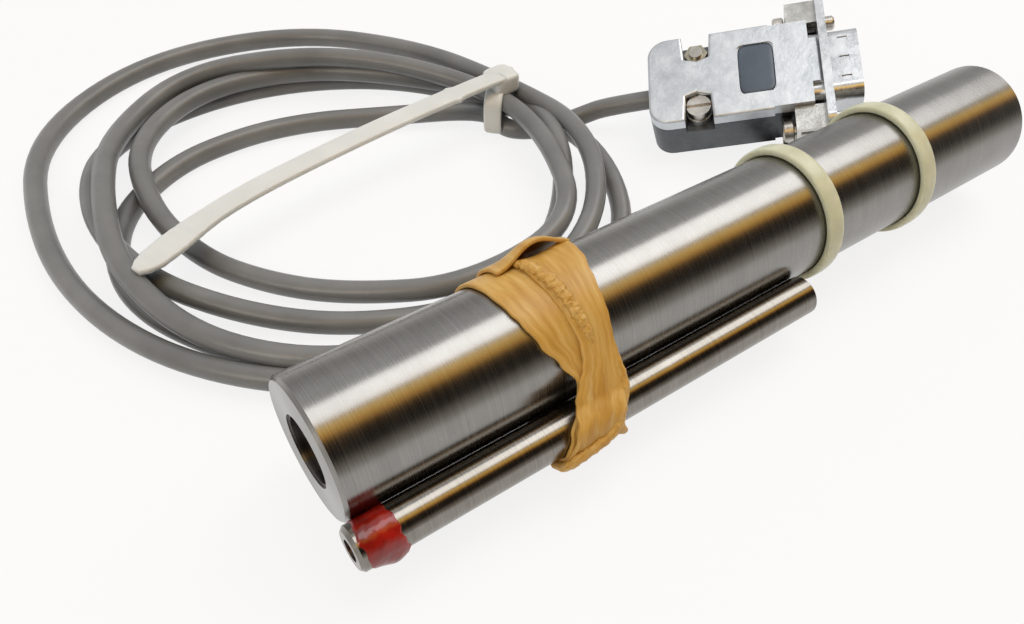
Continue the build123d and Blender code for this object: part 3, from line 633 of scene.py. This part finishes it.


# Hood
# A tray and a lid of die-cast zinc with a slightly uneven cast skin. The lid is plated
# bright; the tray has the same plating painted dark grey as painted shade for its
# shaded side. A lacquered field fills the lid's pocket, and a ferrule grips the cable.

dress(plated("plated_zinc", "#dadee2", "#bcc0c5", 0.42, 0.0010, 0.4), "hood_lid")
# The tray's dark grey tone is painted shade, not a duller plating.
dress(plated("plated_zinc_painted_shade", "#66686b", "#4f5154", 0.36, 0.0010, 0.4), "hood_tray")
nickel_steel = plated("nickel_plated_steel", "#d3cfc8", "#a9a49b", 0.26, 0.0008, 0.2)
dress(nickel_steel, "hood_screw_near", "hood_screw_far", "cable_ferrule")
dress(plated("nickel_plated_brass", "#c3bca8", "#8f897a", 0.3, 0.0008, 0.2), "hood_screw_nut")

plug_place = (0.0537, 0.026338, 0.0168)
plug_turn = (Matrix.Translation(plug_place) @ Matrix.Rotation(radians(-42.3), 4, "Z")
             @ Matrix.Rotation(radians(-15.4), 4, "Y") @ Matrix.Rotation(radians(21.3), 4, "X"))
field_middle, field_half, field_top, field_drop = -0.0137, (0.00345, 0.00585), 0.00507, 0.00018
field_turn = np.linspace(0, 2 * pi, 96, endpoint=False)
field_ring = np.linspace(0.02, 1, 14)[:, None]
field_x = field_middle + field_half[0] * field_ring * softened(np.cos(field_turn), 0.3)
field_y = field_half[1] * field_ring * softened(np.sin(field_turn), 0.3)
field_z = field_top - field_drop * field_ring ** 8 + 0 * field_x
field_grid = np.stack([field_x, field_y, field_z], axis=-1)
plug_matrix = np.array(plug_turn)
field_points = field_grid @ plug_matrix[:3, :3].T + plug_matrix[:3, 3]
blue_grey_lacquer = moulded("blue_grey_lacquer", "#566374", "#3a4554", 0.34, 0.0014)
field = grid_piece("hood_field", field_points, blue_grey_lacquer, round_v=True, caps=True)


# Jackscrews
# Two slotted steel screws, nickel plated, behind bent saddles that keep them in the
# hood. They turn freely, so each screw is its own body and keeps its CAD shape.

dress(nickel_steel, "jackscrew_near", "jackscrew_far")
dress(plated("nickel_plated_strip", "#d9d8d4", "#b5b3ad", 0.22, 0.0010, 0.2),
      "jackscrew_saddle_near", "jackscrew_saddle_far")


# Studio
# A pale table under a soft overhead light, with a dim warm room round it, which the
# bare metal mirrors as dark and golden stripes.

floor_reach = 8
floor_mesh = bpy.data.meshes.new("floor")
floor_corners = [(-floor_reach, -floor_reach, 0), (floor_reach, -floor_reach, 0),
                 (floor_reach, floor_reach, 0), (-floor_reach, floor_reach, 0)]
floor_mesh.from_pydata(floor_corners, [], [(0, 1, 2, 3)])
floor = bpy.data.objects.new("floor", floor_mesh)
bpy.context.scene.collection.objects.link(floor)
pale_card, card_shader = new_material("pale_card", Roughness=0.9, Base_Color="#e6e6e4",
                                      Specular_IOR_Level=0.1)
seen = add(pale_card, "LightPath").outputs
seen_through = add(pale_card, "Math", {"operation": "MAXIMUM"},
                   {0: seen["Is Camera Ray"], 1: seen["Is Transmission Ray"]})
seen_anyhow = add(pale_card, "Math", {"operation": "MAXIMUM"},
                  {0: seen_through.outputs[0], 1: seen["Is Glossy Ray"]})
glow_part = add(pale_card, "Math", {"operation": "MULTIPLY", 1: 0.84}, {0: seen_anyhow.outputs[0]})
glow = add(pale_card, "Emission", {"Color": "#ffffff", "Strength": 1.0})
card_mix = add(pale_card, "MixShader", {}, {0: glow_part.outputs[0], 1: card_shader.outputs["BSDF"],
                                             2: glow.outputs["Emission"]})
join(pale_card, card_mix.outputs["Shader"], pale_card.node_tree.nodes["Material Output"].inputs["Surface"])
floor_mesh.materials.append(pale_card)

room = bpy.data.worlds.new("room")
bpy.context.scene.world = room
room.use_nodes = True
room_air = room.node_tree.nodes["Background"]
direction = add(room, "TexCoord").outputs["Generated"]
towards = add(room, "SeparateXYZ", {}, {"Vector": direction}).outputs
forward = add(room, "Math", {"operation": "MULTIPLY", 1: -1.0}, {0: towards["Y"]})
around = add(room, "Math", {"operation": "ARCTAN2"}, {0: forward.outputs[0], 1: towards["Z"]})
height = add(room, "MapRange", {"From Min": -pi, "From Max": pi}, {"Value": around.outputs[0]})
room_tone = add(room, "ValToRGB", {"stops": [
    (0.25, "#adacaa"), (0.31, "#908f8e"), (0.40, "#b2b2b2"), (0.45, "#a8a8a8"), (0.53, "#9c9a98"),
    (0.556, "#ffd060"), (0.588, "#c58a3c"), (0.605, "#1c1815"), (0.68, "#1f1b18"), (0.71, "#726b62"),
    (0.76, "#a9a7a3"),
]}, {"Fac": height.outputs["Result"]})
endwise = add(room, "Math", {"operation": "ABSOLUTE"}, {0: towards["X"]})
fade = add(room, "MapRange", {"From Min": 0.88, "From Max": 0.97}, {"Value": endwise.outputs[0]})
room_walls = add(room, "Mix", {"data_type": "RGBA", 7: "#a9a7a3"},
                 {0: fade.outputs["Result"], 6: room_tone.outputs["Color"]})
join(room, room_walls.outputs[2], room_air.inputs["Color"])
room_air.inputs["Strength"].default_value = 1.8

for name, place, wide, long, power in (("overhead", (0.35, 0.06, 0.75), 0.40, 0.90, 3.2),
                                       ("side", (-0.7, -0.2, 0.45), 0.35, 0.35, 1.2)):
    lamp_data = bpy.data.lights.new(name, "AREA")
    lamp_data.shape = "RECTANGLE"
    lamp_data.size = wide
    lamp_data.size_y = long
    lamp_data.energy = power
    lamp = bpy.data.objects.new(name, lamp_data)
    aim = -Vector(place)
    lamp.matrix_world = Matrix.Translation(place) @ aim.to_track_quat("-Z", "Y").to_matrix().to_4x4()
    bpy.context.scene.collection.objects.link(lamp)

bpy.context.scene.view_settings.view_transform = "Standard"
